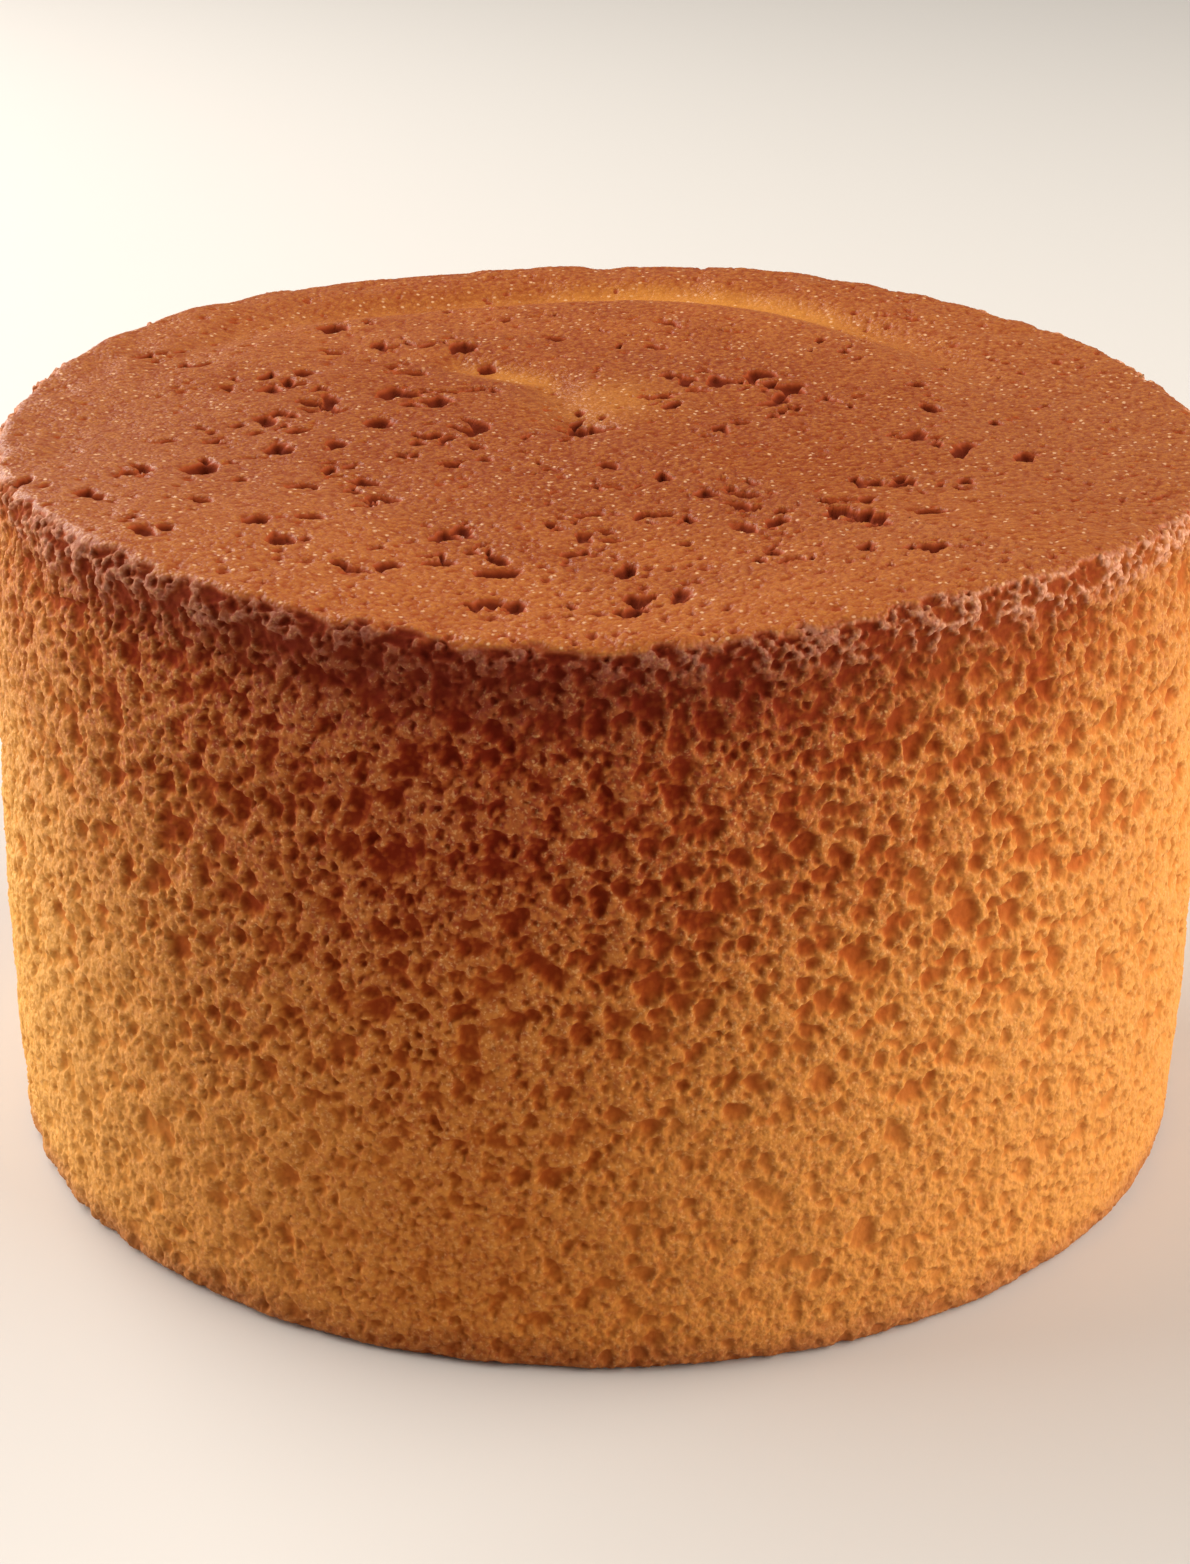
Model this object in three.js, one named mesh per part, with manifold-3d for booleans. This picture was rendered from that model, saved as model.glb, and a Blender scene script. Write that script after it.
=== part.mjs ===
// Genoise sponge cake, whole and uncut, as one solid that carries its baked relief.
// Millimetres, +Z up, origin at the middle of the flat base, -Y towards the front of the cake.
import * as THREE from "three";
import { mergeVertices } from "three/addons/utils/BufferGeometryUtils.js";
import Module from "manifold-3d";

// Overall form.
const BASE_RADIUS = 92.2;
const BELLY_RADIUS = 93.4;
const BELLY_HEIGHT = 36;
const RIM_RADIUS = 92.2;
const RIM_HEIGHT = 110.3;
const BASE_ROUND = 2.4;
const RIM_ROUND = 3.4;

// Crust lip that stands a little proud of the crumb under it.
const LIP_INSET = 0.6;
const LIP_DROP = 8;
const LIP_SPREAD = 3.5;

// Top crust: a shallow dish, a crease along the back and a bent furrow near the middle.
const TOP_DISH = 1.2;
const CREASE_DEPTH = 2.2;
const CREASE_WIDTH = 4.6;
const CREASE_RADIUS = 75.5;
const CREASE_DRIFT = 9;
const CREASE_MIDDLE_DEG = 88;
const CREASE_SPAN_DEG = 62;
const FURROW_DEPTH = 1.5;
const FURROW_WIDTH = 4.2;
const FURROW_BENDS = [
  [-23, 34],
  [-9, 27],
  [-3, 2],
];

// Waves of the rim's height and of the side's radius: waves round the cake, size, crest in degrees.
const RIM_WAVES = [
  [2, 0.2, -81],
  [3, 0.4, -43],
  [4, 0.8, -46],
  [5, 0.55, 8],
];
const SIDE_WAVES = [
  [2, 0.3, 0],
  [5, 0.25, 75],
  [7, 0.2, -30],
];
const RIM_RAGGED = 0.45;

// Pores of the side: one in each cell of a staggered grid, moved about inside its cell.
const PORE_ROWS = 7;
const PORE_COLUMNS = 36;
const PORE_SHIFT = 0.42;
const PORE_LOW = 6;
const PORE_HIGH = 103;
const PORE_WIDTH_MIN = 2.8;
const PORE_WIDTH_MAX = 5.8;
const PORE_FLATNESS = 0.74;
const PORE_DEPTH = 0.62;

// Burst bubbles of the top crust: x, y, width and length of the mouth.
const CRUST_HOLES = [
  [-32, 18, 5.2, 6.0],
  [-24, 19, 4.6, 3.0],
  [-19.5, 0, 3.4, 6.2],
  [-34, 2, 5.0, 4.2],
  [-59, -22, 5.6, 6.0],
  [-48, -12, 4.0, 6.0],
  [-40, -10, 3.4, 5.0],
  [-43, -30, 5.2, 3.4],
  [-48, -48, 4.2, 4.6],
  [-41, -45, 5.0, 3.0],
  [-13.5, -64, 5.4, 4.0],
  [3, -63, 2.6, 4.2],
  [7.5, -40, 4.2, 4.0],
  [9, -22, 3.2, 5.0],
  [0.7, -18, 3.0, 4.2],
  [25, 29, 4.4, 4.0],
  [51, 11, 4.2, 4.2],
  [54, -10, 3.0, 7.0],
  [63, -13, 3.6, 5.2],
  [46.5, -40, 4.0, 4.2],
  [-23, 42, 5.2, 4.0],
  [-45, 50, 4.6, 5.0],
];
const HOLE_DEPTH = 0.6;
const SPECKS = 22;
const SPECK_WIDTH = 2.6;
const SPECK_NEAR = 14;
const SPECK_FAR = 72;
const SPECK_CLEAR = 7;

// Share of its depth by which the middle of a bubble stands out of the skin.
const BUBBLE_RAISE = 0.12;

// Facets.
const ROUND_STEPS = 60;
const EDGE_STEPS = 3;
const SIDE_STEPS = 9;
const TOP_RADII = [82, 78, 75, 72, 69, 65, 58, 50, 41, 32, 23, 13, 0];

const wasm = await Module();
wasm.setup();

// Fractional part, always in 0 to 1.
function fraction(value) {
  return value - Math.floor(value);
}

// Even two-way spread of the unit square: the n-th point of a fixed sequence.
function spread(n) {
  return [fraction(0.5 + n * 0.7548776662), fraction(0.5 + n * 0.569840291)];
}

// Repeatable draw in 0 to 1 for item n and purpose k.
function draw(n, k) {
  return fraction(Math.sin(n * 12.9898 + k * 78.233) * 43758.5453);
}

// Smooth step from 0 at the first edge to 1 at the second.
function ease(from, to, value) {
  const t = THREE.MathUtils.clamp((value - from) / (to - from), 0, 1);
  return t * t * (3 - 2 * t);
}

// Bell curve of height 1.
function bell(value) {
  return Math.exp(-value * value);
}

// Sum of waves round the cake at a bearing in degrees, counted from +X.
function waves(list, bearing) {
  return list.reduce(
    (sum, [count, size, crest]) => sum + size * Math.cos(THREE.MathUtils.degToRad(count * (bearing - crest))),
    0,
  );
}

// Radius of the plain side at a height: widest at the belly, drawn in under the lip.
function sideRadius(z) {
  const low = z < BELLY_HEIGHT;
  const reach = low ? z / BELLY_HEIGHT - 1 : (z - BELLY_HEIGHT) / (RIM_HEIGHT - BELLY_HEIGHT);
  const end = low ? BASE_RADIUS : RIM_RADIUS;
  const inset = LIP_INSET * bell((z - RIM_HEIGHT + LIP_DROP) / LIP_SPREAD);
  return BELLY_RADIUS - (BELLY_RADIUS - end) * reach * reach - inset;
}

// Distance from a point to the bent line of the furrow.
function furrowDistance(x, y) {
  const point = new THREE.Vector3(x, y, 0);
  const near = new THREE.Vector3();
  const bends = FURROW_BENDS.map(([bx, by]) => new THREE.Vector3(bx, by, 0));
  const runs = bends.slice(1).map((end, i) => new THREE.Line3(bends[i], end));
  return Math.min(...runs.map((run) => run.closestPointToPoint(point, true, near).distanceTo(point)));
}

// Height of the top crust over a point of the plan.
function topHeight(x, y) {
  const radius = Math.hypot(x, y);
  const bearing = THREE.MathUtils.radToDeg(Math.atan2(y, x));
  const off = (bearing - CREASE_MIDDLE_DEG) / CREASE_SPAN_DEG;
  const track = CREASE_RADIUS - CREASE_DRIFT * ease(0, 1, -off);
  const crease = CREASE_DEPTH * bell((radius - track) / CREASE_WIDTH) * bell(off * off);
  const furrow = FURROW_DEPTH * bell(furrowDistance(x, y) / FURROW_WIDTH);
  const dish = TOP_DISH * ease(RIM_RADIUS, 30, radius);
  const wave = waves(RIM_WAVES, bearing) * ease(40, 82, radius);
  return RIM_HEIGHT + wave - dish - crease - furrow;
}

// Closed profile from the middle of the base, out and up the side, and in over the top.
function profile() {
  const points = [new THREE.Vector2(0, 0)];
  for (let i = 0; i <= EDGE_STEPS; i++) {
    const turn = ((Math.PI / 2) * i) / EDGE_STEPS;
    const radius = sideRadius(BASE_ROUND) - BASE_ROUND * (1 - Math.sin(turn));
    points.push(new THREE.Vector2(radius, BASE_ROUND * (1 - Math.cos(turn))));
  }
  const shoulder = RIM_HEIGHT - RIM_ROUND;
  for (let i = 1; i <= SIDE_STEPS; i++) {
    const z = THREE.MathUtils.lerp(BASE_ROUND, shoulder, i / SIDE_STEPS);
    points.push(new THREE.Vector2(sideRadius(z), z));
  }
  for (let i = 1; i <= EDGE_STEPS; i++) {
    const turn = ((Math.PI / 2) * i) / EDGE_STEPS;
    const radius = sideRadius(shoulder) - RIM_ROUND * (1 - Math.cos(turn));
    points.push(new THREE.Vector2(radius, shoulder + RIM_ROUND * Math.sin(turn)));
  }
  TOP_RADII.forEach((radius) => points.push(new THREE.Vector2(radius, RIM_HEIGHT)));
  return points;
}

// Solid of a closed geometry, ready for joins and cuts.
function solidOf(geometry) {
  geometry.deleteAttribute("normal");
  geometry.deleteAttribute("uv");
  const merged = mergeVertices(geometry, 1e-3);
  return new wasm.Manifold(
    new wasm.Mesh({
      numProp: 3,
      vertProperties: new Float32Array(merged.attributes.position.array),
      triVerts: new Uint32Array(merged.index.array),
    }),
  );
}

// Turned body of the cake, each point then moved by the waves and the relief of the crust.
function bodyGeometry() {
  const geometry = new THREE.LatheGeometry(profile(), ROUND_STEPS);
  geometry.rotateX(Math.PI / 2);
  const points = geometry.attributes.position;
  for (let i = 0; i < points.count; i++) {
    const x = points.getX(i);
    const y = points.getY(i);
    const z = points.getZ(i);
    const radius = Math.hypot(x, y);
    const bearing = radius > 1e-6 ? THREE.MathUtils.radToDeg(Math.atan2(y, x)) : 0;
    const step = Math.round((bearing + 360) / (360 / ROUND_STEPS)) % ROUND_STEPS;
    const swell = waves(SIDE_WAVES, bearing) * ease(0, 25, z) * ease(60, 85, radius);
    const ragged = RIM_RAGGED * (2 * draw(step, Math.round(z)) - 1) * bell((z - RIM_HEIGHT + 2) / 4);
    const scale = radius > 1e-6 ? 1 + (swell + ragged * ease(70, 85, radius)) / radius : 1;
    const lift = topHeight(x, y) - RIM_HEIGHT;
    const share = z > RIM_HEIGHT - 1e-6 ? 1 : ease(RIM_HEIGHT - 30, RIM_HEIGHT, z);
    points.setXYZ(i, x * scale, y * scale, z + lift * share);
  }
  return geometry;
}

// Hollow left by a bubble: a unit ball given its mouth and depth, sunk in the skin along the normal.
function bubble(geometry, at, normal, width, height, depth, spin) {
  const across = new THREE.Vector3(-normal.y, normal.x, 0);
  if (across.lengthSq() < 1e-6) {
    across.set(1, 0, 0);
  }
  across.normalize();
  const along = new THREE.Vector3().crossVectors(normal, across);
  const frame = new THREE.Matrix4().makeBasis(across, along, normal);
  const centre = at.clone().addScaledVector(normal, BUBBLE_RAISE * depth);
  geometry.rotateZ(spin);
  geometry.scale(width / 2, height / 2, depth);
  geometry.applyMatrix4(frame.setPosition(centre));
  return solidOf(geometry);
}

// Pores of the side: wide and low mouths, larger in the upper half of the crumb.
function sidePores() {
  const list = [];
  for (let n = 0; n < PORE_ROWS * PORE_COLUMNS; n++) {
    const row = Math.floor(n / PORE_COLUMNS);
    const round = (n + 0.5 * row + PORE_SHIFT * (2 * draw(n, 6) - 1)) / PORE_COLUMNS;
    const rise = (row + 0.5 + PORE_SHIFT * (2 * draw(n, 7) - 1)) / PORE_ROWS;
    const bearing = 360 * fraction(round) - 180;
    const angle = THREE.MathUtils.degToRad(bearing);
    const z = THREE.MathUtils.lerp(PORE_LOW, PORE_HIGH, rise);
    const bulk = draw(n, 1) * THREE.MathUtils.lerp(0.35, 1, ease(15, 60, z));
    const width = THREE.MathUtils.lerp(PORE_WIDTH_MIN, PORE_WIDTH_MAX, bulk);
    const normal = new THREE.Vector3(Math.cos(angle), Math.sin(angle), 0);
    const radius = sideRadius(z) + waves(SIDE_WAVES, bearing) * ease(0, 25, z);
    const at = normal.clone().multiplyScalar(radius).setZ(z);
    const height = width * PORE_FLATNESS * (0.8 + 0.4 * draw(n, 2));
    const form = bulk > 0.5 ? new THREE.IcosahedronGeometry(1) : new THREE.OctahedronGeometry(1);
    list.push(bubble(form, at, normal, width, height, width * PORE_DEPTH, 6 * draw(n, 3)));
  }
  return list;
}

// Burst bubbles of the crust, and smaller specks between them.
function crustHoles() {
  const up = new THREE.Vector3(0, 0, 1);
  const large = CRUST_HOLES.map(([x, y, width, length], n) => {
    const at = new THREE.Vector3(x, y, topHeight(x, y));
    const form = new THREE.IcosahedronGeometry(1, 1);
    return bubble(form, at, up, width, length, HOLE_DEPTH * Math.min(width, length), 6 * draw(n, 4));
  });
  const small = [];
  for (let n = 0; n < SPECKS; n++) {
    const [round, out] = spread(n);
    const angle = 2 * Math.PI * round;
    const radius = THREE.MathUtils.lerp(SPECK_NEAR, SPECK_FAR, Math.sqrt(out));
    const x = radius * Math.cos(angle);
    const y = radius * Math.sin(angle);
    const clear = CRUST_HOLES.every(([hx, hy]) => Math.hypot(x - hx, y - hy) > SPECK_CLEAR);
    if (clear) {
      const at = new THREE.Vector3(x, y, topHeight(x, y));
      const form = new THREE.OctahedronGeometry(1);
      small.push(bubble(form, at, up, SPECK_WIDTH, SPECK_WIDTH, HOLE_DEPTH * SPECK_WIDTH, 6 * draw(n, 5)));
    }
  }
  return [...large, ...small];
}

// Geometry of a finished solid.
function geometryOf(solid) {
  const mesh = solid.getMesh();
  const geometry = new THREE.BufferGeometry();
  geometry.setAttribute("position", new THREE.BufferAttribute(mesh.vertProperties, 3));
  geometry.setIndex(new THREE.BufferAttribute(mesh.triVerts, 1));
  geometry.computeVertexNormals();
  return geometry;
}

const cakeSolid = wasm.Manifold.difference([solidOf(bodyGeometry()), ...sidePores(), ...crustHoles()]);
const crumb = new THREE.MeshStandardMaterial({ color: 0xb8742e, roughness: 0.85, metalness: 0 });
const cake = new THREE.Mesh(geometryOf(cakeSolid), crumb);
cake.name = "sponge_cake";

const part = new THREE.Group();
part.name = "genoise_sponge_cake";
part.add(cake);

export default part;
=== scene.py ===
"""Genoise sponge cake, whole and uncut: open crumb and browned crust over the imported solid.

Lengths in the classes are millimetres and the meshes are in metres. +Z is up and -Y is the front.
"""

import logging
import math
from dataclasses import dataclass
from enum import Enum, IntEnum
from itertools import product
from typing import Any, Callable, Iterator, Mapping, Sequence, Tuple, Union

import bpy
import numpy as np
from mathutils import Matrix

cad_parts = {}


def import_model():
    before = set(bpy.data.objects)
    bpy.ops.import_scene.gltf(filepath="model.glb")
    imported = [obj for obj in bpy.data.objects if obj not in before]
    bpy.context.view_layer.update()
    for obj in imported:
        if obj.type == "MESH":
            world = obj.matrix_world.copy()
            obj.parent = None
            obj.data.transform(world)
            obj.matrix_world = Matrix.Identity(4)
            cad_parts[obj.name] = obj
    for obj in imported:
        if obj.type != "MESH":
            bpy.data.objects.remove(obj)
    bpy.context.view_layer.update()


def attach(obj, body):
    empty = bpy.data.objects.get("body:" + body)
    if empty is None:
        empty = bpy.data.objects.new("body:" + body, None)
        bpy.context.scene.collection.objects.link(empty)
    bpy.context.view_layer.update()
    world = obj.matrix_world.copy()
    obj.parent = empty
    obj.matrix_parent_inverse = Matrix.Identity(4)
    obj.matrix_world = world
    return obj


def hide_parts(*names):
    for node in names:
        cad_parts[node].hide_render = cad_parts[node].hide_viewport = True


Array = np.ndarray
Pair = Tuple[float, float]
Triple = Tuple[float, float, float]
# A millimetre in metres.
MM = 0.001
# Flat map of a piece: height of the strip for the closing triangles, where the skin begins, and the
# half width of a round piece.
CAP_STRIP = 0.02
SKIN_FROM = 0.03
MAP_REACH = 0.49
# Steps that spread numbered points evenly over a square.
SPREAD = (0.7548776662, 0.569840291)
# Distance from its middle at which a grain ends, in sides of a cube.
GRAIN_REACH = math.sqrt(0.75)
# Distance outside its edge at which a pit begins, in millimetres.
LIP = 0.3
# Least divisor.
TINY = 1.0e-12
LOG = logging.getLogger("sponge_cake")


def ease(low: float, high: float, value: Array) -> Array:
    """Smooth step from 0 at the low edge to 1 at the high edge: t squared times (3 - 2t)."""
    t = np.clip((value - low) / (high - low), 0.0, 1.0)
    return t * t * (3.0 - 2.0 * t)


def bell(value: Array) -> Array:
    """Bell curve of height 1: e to the minus value squared."""
    return np.exp(-value * value)


def blend(start: Array, end: Array, share: Array) -> Array:
    """Straight mix from start at share 0 to end at share 1."""
    return start + (end - start) * share


def fraction(value: Array) -> Array:
    """Part of a number after its whole part, always in 0 to 1."""
    return value - np.floor(value)


class Purpose(IntEnum):
    """What a numbered draw is for."""

    PORE_BULK = 1
    PORE_TALL = 2
    PORE_TURN = 6
    PORE_RISE = 7
    GROUP_TURN = 21
    GROUP_RADIUS = 22
    BUBBLE_WIDTH = 23
    BUBBLE_LENGTH = 24
    BUBBLE_ACROSS = 25
    BUBBLE_ALONG = 26
    BUBBLE_TURN = 27


def draw(item: Array, purpose: Purpose) -> Array:
    """Repeatable draw in 0 to 1 for each numbered item and purpose, from the tail of a large sine."""
    return fraction(np.sin(item * 12.9898 + purpose * 78.233) * 43758.5453)


def cell_draw(cell: Array, salt: int) -> Array:
    """Repeatable draw in 0 to 1 for each cube of a lattice.

    The three whole numbers of a cube are each multiplied by an odd constant, joined bit by bit
    with the salt, and stirred by two rounds of shift and multiply.

    Args:
        cell: Whole numbers of the cubes, with the three axes last.
        salt: Number that sets one purpose apart from another.

    Returns:
        One draw for each cube.
    """
    whole = cell.astype(np.int64).astype(np.uint32)
    mixed = whole[..., 0] * np.uint32(0x8DA6B343)
    mixed ^= whole[..., 1] * np.uint32(0xD8163841)
    mixed ^= whole[..., 2] * np.uint32(0xCB1AB31F)
    mixed ^= np.uint32(salt * 0x9E3779B1 & 0xFFFFFFFF)
    for shift, factor in ((16, 0x7FEB352D), (15, 0x846CA68B)):
        mixed ^= mixed >> np.uint32(shift)
        mixed *= np.uint32(factor)
    mixed ^= mixed >> np.uint32(16)
    return mixed / 4294967296.0


def soft_noise(at: Array, size: float, salt: int) -> Array:
    """Smooth noise in -1 to 1.

    The draws at the eight corners of each cube are mixed by the fifth-power ease of the place in it.

    Args:
        at: Points, with the three axes last.
        size: Side of a cube.
        salt: Number of this noise.

    Returns:
        One value for each point.
    """
    place = at / size
    cell = np.floor(place)
    inside = place - cell
    near = inside**3 * (inside * (inside * 6.0 - 15.0) + 10.0)
    total = np.zeros(len(at))
    for corner in product((0, 1), repeat=3):
        weight = np.prod(np.where(corner, near, 1.0 - near), axis=-1)
        total += weight * cell_draw(cell + corner, salt)
    return 2.0 * total - 1.0


def near_cells(place: Array, salt: int) -> Iterator[Tuple[Array, Array]]:
    """Walks the 27 cubes of a lattice round each point, with a middle drawn in every cube.

    Args:
        place: Points, in units of a cube's side.
        salt: Number that sets these middles apart from others.

    Yields:
        Whole numbers of the cubes, and the distances from the points to the middles.
    """
    home = np.floor(place)
    for step in product((-1, 0, 1), repeat=3):
        cell = home + step
        middle = cell + np.stack([cell_draw(cell, salt + axis) for axis in range(3)], -1)
        yield cell, np.linalg.norm(place - middle, axis=-1)


def beads(at: Array, size: float, salt: int) -> Array:
    """Rounded grains in 0 to 1: 1 less the square of the distance to the nearest middle over the reach.

    Args:
        at: Points, with the three axes last.
        size: Side of a cube.
        salt: Number of these grains.

    Returns:
        One value for each point.
    """
    nearest = np.full(len(at), 2.0)
    for _, away in near_cells(at / size, salt):
        nearest = np.minimum(nearest, away)
    return np.clip(1.0 - (nearest / GRAIN_REACH) ** 2, 0.0, 1.0)


def tint(code: str) -> Tuple[float, float, float, float]:
    """Linear colour of a six-digit code of red, green and blue."""
    steps = [int(code[i:i + 2], 16) / 255.0 for i in (1, 3, 5)]
    linear = [s / 12.92 if s <= 0.04045 else ((s + 0.055) / 1.055) ** 2.4 for s in steps]
    return (linear[0], linear[1], linear[2], 1.0)


def hollow(inside: Array, run: float) -> Array:
    """Share of a pit's depth: a smooth step from the lip outside its edge to the run inside it."""
    return ease(-LIP, run, inside)


class Sector(Enum):
    """Sixths of the side, each by the bearing in degrees at which it begins."""

    FRONT = -120.0
    FRONT_RIGHT = -60.0
    BACK_RIGHT = 0.0
    BACK = 60.0
    BACK_LEFT = 120.0
    FRONT_LEFT = 180.0


class Half(Enum):
    """Halves of the top, each by the number of halves in front of it."""

    FRONT = 0
    BACK = 1


@dataclass
class Skin:
    """Points of the plain skin, with the outward direction and the place along the profile of each."""

    at: Array
    out: Array
    path: Array
    bearing: Array

    def part(self, chosen: Array) -> "Skin":
        """The chosen points only."""
        return Skin(self.at[chosen], self.out[chosen], self.path[chosen], self.bearing[chosen])


@dataclass(frozen=True)
class CakeForm:
    """Turned form of the cake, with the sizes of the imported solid."""

    base_radius: float = 92.2
    belly_radius: float = 93.4
    belly_height: float = 36.0
    rim_radius: float = 92.2
    rim_height: float = 110.3
    base_round: float = 2.4
    rim_round: float = 3.4
    lip_inset: float = 0.6
    lip_drop: float = 8.0
    lip_spread: float = 3.5
    lift_fade: float = 30.0
    top_dish: float = 1.2
    dish_flat: float = 30.0
    wave_ring: Pair = (40.0, 82.0)
    swell_rise: Pair = (0.0, 25.0)
    swell_ring: Pair = (60.0, 85.0)
    crease_depth: float = 2.2
    crease_width: float = 4.6
    crease_radius: float = 75.5
    crease_drift: float = 9.0
    crease_middle: float = 88.0
    crease_span: float = 62.0
    furrow_depth: float = 1.5
    furrow_width: float = 4.2
    furrow_bends: Tuple[Pair, ...] = ((-23.0, 34.0), (-9.0, 27.0), (-3.0, 2.0))
    rim_waves: Tuple[Triple, ...] = (
        (2, 0.2, -81), (3, 0.4, -43), (4, 0.8, -46), (5, 0.55, 8))
    side_waves: Tuple[Triple, ...] = ((2, 0.3, 0), (5, 0.25, 75), (7, 0.2, -30))

    @property
    def shoulder(self) -> float:
        """Height at which the side turns into the rim."""
        return self.rim_height - self.rim_round

    @property
    def foot_length(self) -> float:
        """Length of the profile round the foot, a quarter of a circle."""
        return self.base_round * math.pi / 2.0

    @property
    def side_length(self) -> float:
        """Length of the profile from the base to the end of the straight side."""
        return self.foot_length + self.shoulder - self.base_round

    @property
    def rim_length(self) -> float:
        """Length of the profile from the base to the end of the rim's round."""
        return self.side_length + self.rim_round * math.pi / 2.0

    @property
    def full_length(self) -> float:
        """Length of the profile from the base, over the rim, to the middle of the top."""
        return self.rim_length + float(self.side_radius(np.array(self.shoulder))) - self.rim_round

    @staticmethod
    def waves(rows: Sequence[Sequence[float]], bearing: Array) -> Array:
        """Sum of cosine waves round the cake: size times cos(count times (bearing - crest))."""
        return sum(size * np.cos(np.radians(count * (bearing - crest))) for count, size, crest in rows)

    def side_radius(self, z: Array) -> Array:
        """Radius of the plain side: parabolas down from the belly, less a bell under the lip.

        Args:
            z: Heights.

        Returns:
            Radii.
        """
        low = z < self.belly_height
        above = (z - self.belly_height) / (self.rim_height - self.belly_height)
        reach = np.where(low, z / self.belly_height - 1.0, above)
        end = np.where(low, self.base_radius, self.rim_radius)
        inset = self.lip_inset * bell((z - self.rim_height + self.lip_drop) / self.lip_spread)
        return self.belly_radius - (self.belly_radius - end) * reach * reach - inset

    def crease(self, x: Array, y: Array) -> Array:
        """Share of the back crease: a bell across its track times a flat-topped bell along it.

        Args:
            x: Places across.
            y: Places along.

        Returns:
            Shares from 0 to 1.
        """
        off = (np.degrees(np.arctan2(y, x)) - self.crease_middle) / self.crease_span
        track = self.crease_radius - self.crease_drift * ease(0.0, 1.0, -off)
        return bell((np.hypot(x, y) - track) / self.crease_width) * bell(off * off)

    def furrow(self, x: Array, y: Array) -> Array:
        """Share of the bent furrow: a bell of the distance to the nearest run of its bent line.

        Args:
            x: Places across.
            y: Places along.

        Returns:
            Shares from 0 to 1.
        """
        nearest = np.full(np.shape(x), np.inf)
        for (ax, ay), (bx, by) in zip(self.furrow_bends, self.furrow_bends[1:]):
            run = ((x - ax) * (bx - ax) + (y - ay) * (by - ay)) / ((bx - ax) ** 2 + (by - ay) ** 2)
            run = np.clip(run, 0.0, 1.0)
            nearest = np.minimum(nearest, np.hypot(x - blend(ax, bx, run), y - blend(ay, by, run)))
        return bell(nearest / self.furrow_width)

    def lift(self, x: Array, y: Array) -> Array:
        """Height of the crust over the plain rim: rim waves less the dish, the crease and the furrow.

        Args:
            x: Places across.
            y: Places along.

        Returns:
            Heights over the rim height.
        """
        radius = np.hypot(x, y)
        wave = self.waves(self.rim_waves, np.degrees(np.arctan2(y, x))) * ease(*self.wave_ring, radius)
        dish = self.top_dish * ease(self.rim_radius, self.dish_flat, radius)
        return wave - dish - self.crease_depth * self.crease(x, y) - self.furrow_depth * self.furrow(x, y)

    def skin(self, path: Array, bearing: Array) -> Skin:
        """Points of the plain skin.

        The profile is a quarter round at the foot, the bellied side, a quarter round at the rim and
        a level run to the middle. It is turned to the bearing, swelled by the side waves, and raised
        by the lift of the crust, which fades out down the side.

        Args:
            path: Lengths along the profile from the base.
            bearing: Bearings in degrees from +X.

        Returns:
            The skin at each pair of a length and a bearing.
        """
        foot = np.clip(path, 0.0, self.foot_length) / self.base_round
        rise = np.clip(path - self.foot_length, 0.0, self.shoulder - self.base_round)
        curl = np.clip((path - self.side_length) / self.rim_round, 0.0, math.pi / 2.0)
        inward = np.clip(path - self.rim_length, 0.0, None)
        height = self.base_round + rise
        radius = self.side_radius(height) - self.base_round * (1.0 - np.sin(foot))
        radius = np.maximum(radius - self.rim_round * (1.0 - np.cos(curl)) - inward, 0.0)
        z = height - self.base_round * np.cos(foot) + self.rim_round * np.sin(curl)
        slope = foot - math.pi / 2.0 + curl
        turn = np.radians(bearing)
        x = radius * np.cos(turn)
        y = radius * np.sin(turn)
        swell = self.waves(self.side_waves, bearing) * ease(*self.swell_rise, z)
        swell = swell * ease(*self.swell_ring, radius)
        share = ease(self.rim_height - self.lift_fade, self.rim_height, z)
        at = np.stack((x + swell * np.cos(turn), y + swell * np.sin(turn), z + share * self.lift(x, y)), -1)
        out = np.stack((np.cos(slope) * np.cos(turn), np.cos(slope) * np.sin(turn), np.sin(slope)), -1)
        return Skin(at, out, path, bearing)


@dataclass
class Relief:
    """Carved points of a piece, what the finish reads at each, and the normals kept on its border."""

    at: Array
    marks: Mapping[str, Array]
    lean: Array


@dataclass(frozen=True)
class Layer:
    """Layer of soft noise: its height, its size and its number."""

    height: float
    size: float
    salt: int

    def on(self, at: Array, shift: int = 0) -> Array:
        """Noise at the points, with the number moved on by the shift."""
        return self.height * soft_noise(at, self.size, self.salt + shift)


@dataclass(frozen=True)
class Foam:
    """Layer of bubbles that the skin cuts open: at most one in each cube of a lattice.

    The radii are shares of a cube's side. The pairs of chances and depths hold for fine and coarse crumb.
    The fade is how far under its chance a bubble's draw lies once the bubble has its whole radius.
    """

    cell: float
    radii: Pair
    chances: Pair
    depths: Pair
    run: float
    warp: float
    salt: int
    fade: float = 0.12

    def pits(self, at: Array, drift: Array, crumbly: Array, coarse: Array) -> Array:
        """Depth of the layer's pits.

        A point lies inside a bubble by the radius less the distance to the bubble's middle, with the
        crumbly noise added to that, and the depth grows with it over the run.

        Args:
            at: Points of the skin.
            drift: Noise that moves the points, times the layer's warp.
            crumbly: Noise that frays the edges.
            coarse: Share of coarse crumb.

        Returns:
            Depths.
        """
        place = (at + self.warp * drift) / self.cell
        chance = blend(*self.chances, coarse)
        inside = np.full(len(at), -1.0)
        for cell, away in near_cells(place, self.salt):
            radius = blend(*self.radii, cell_draw(cell, self.salt + 3))
            radius = radius * ease(0.0, self.fade, chance - cell_draw(cell, self.salt + 4))
            inside = np.maximum(inside, radius - away)
        depth = blend(*self.depths, coarse)
        return depth * hollow(inside * self.cell + crumbly, self.run)


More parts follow.
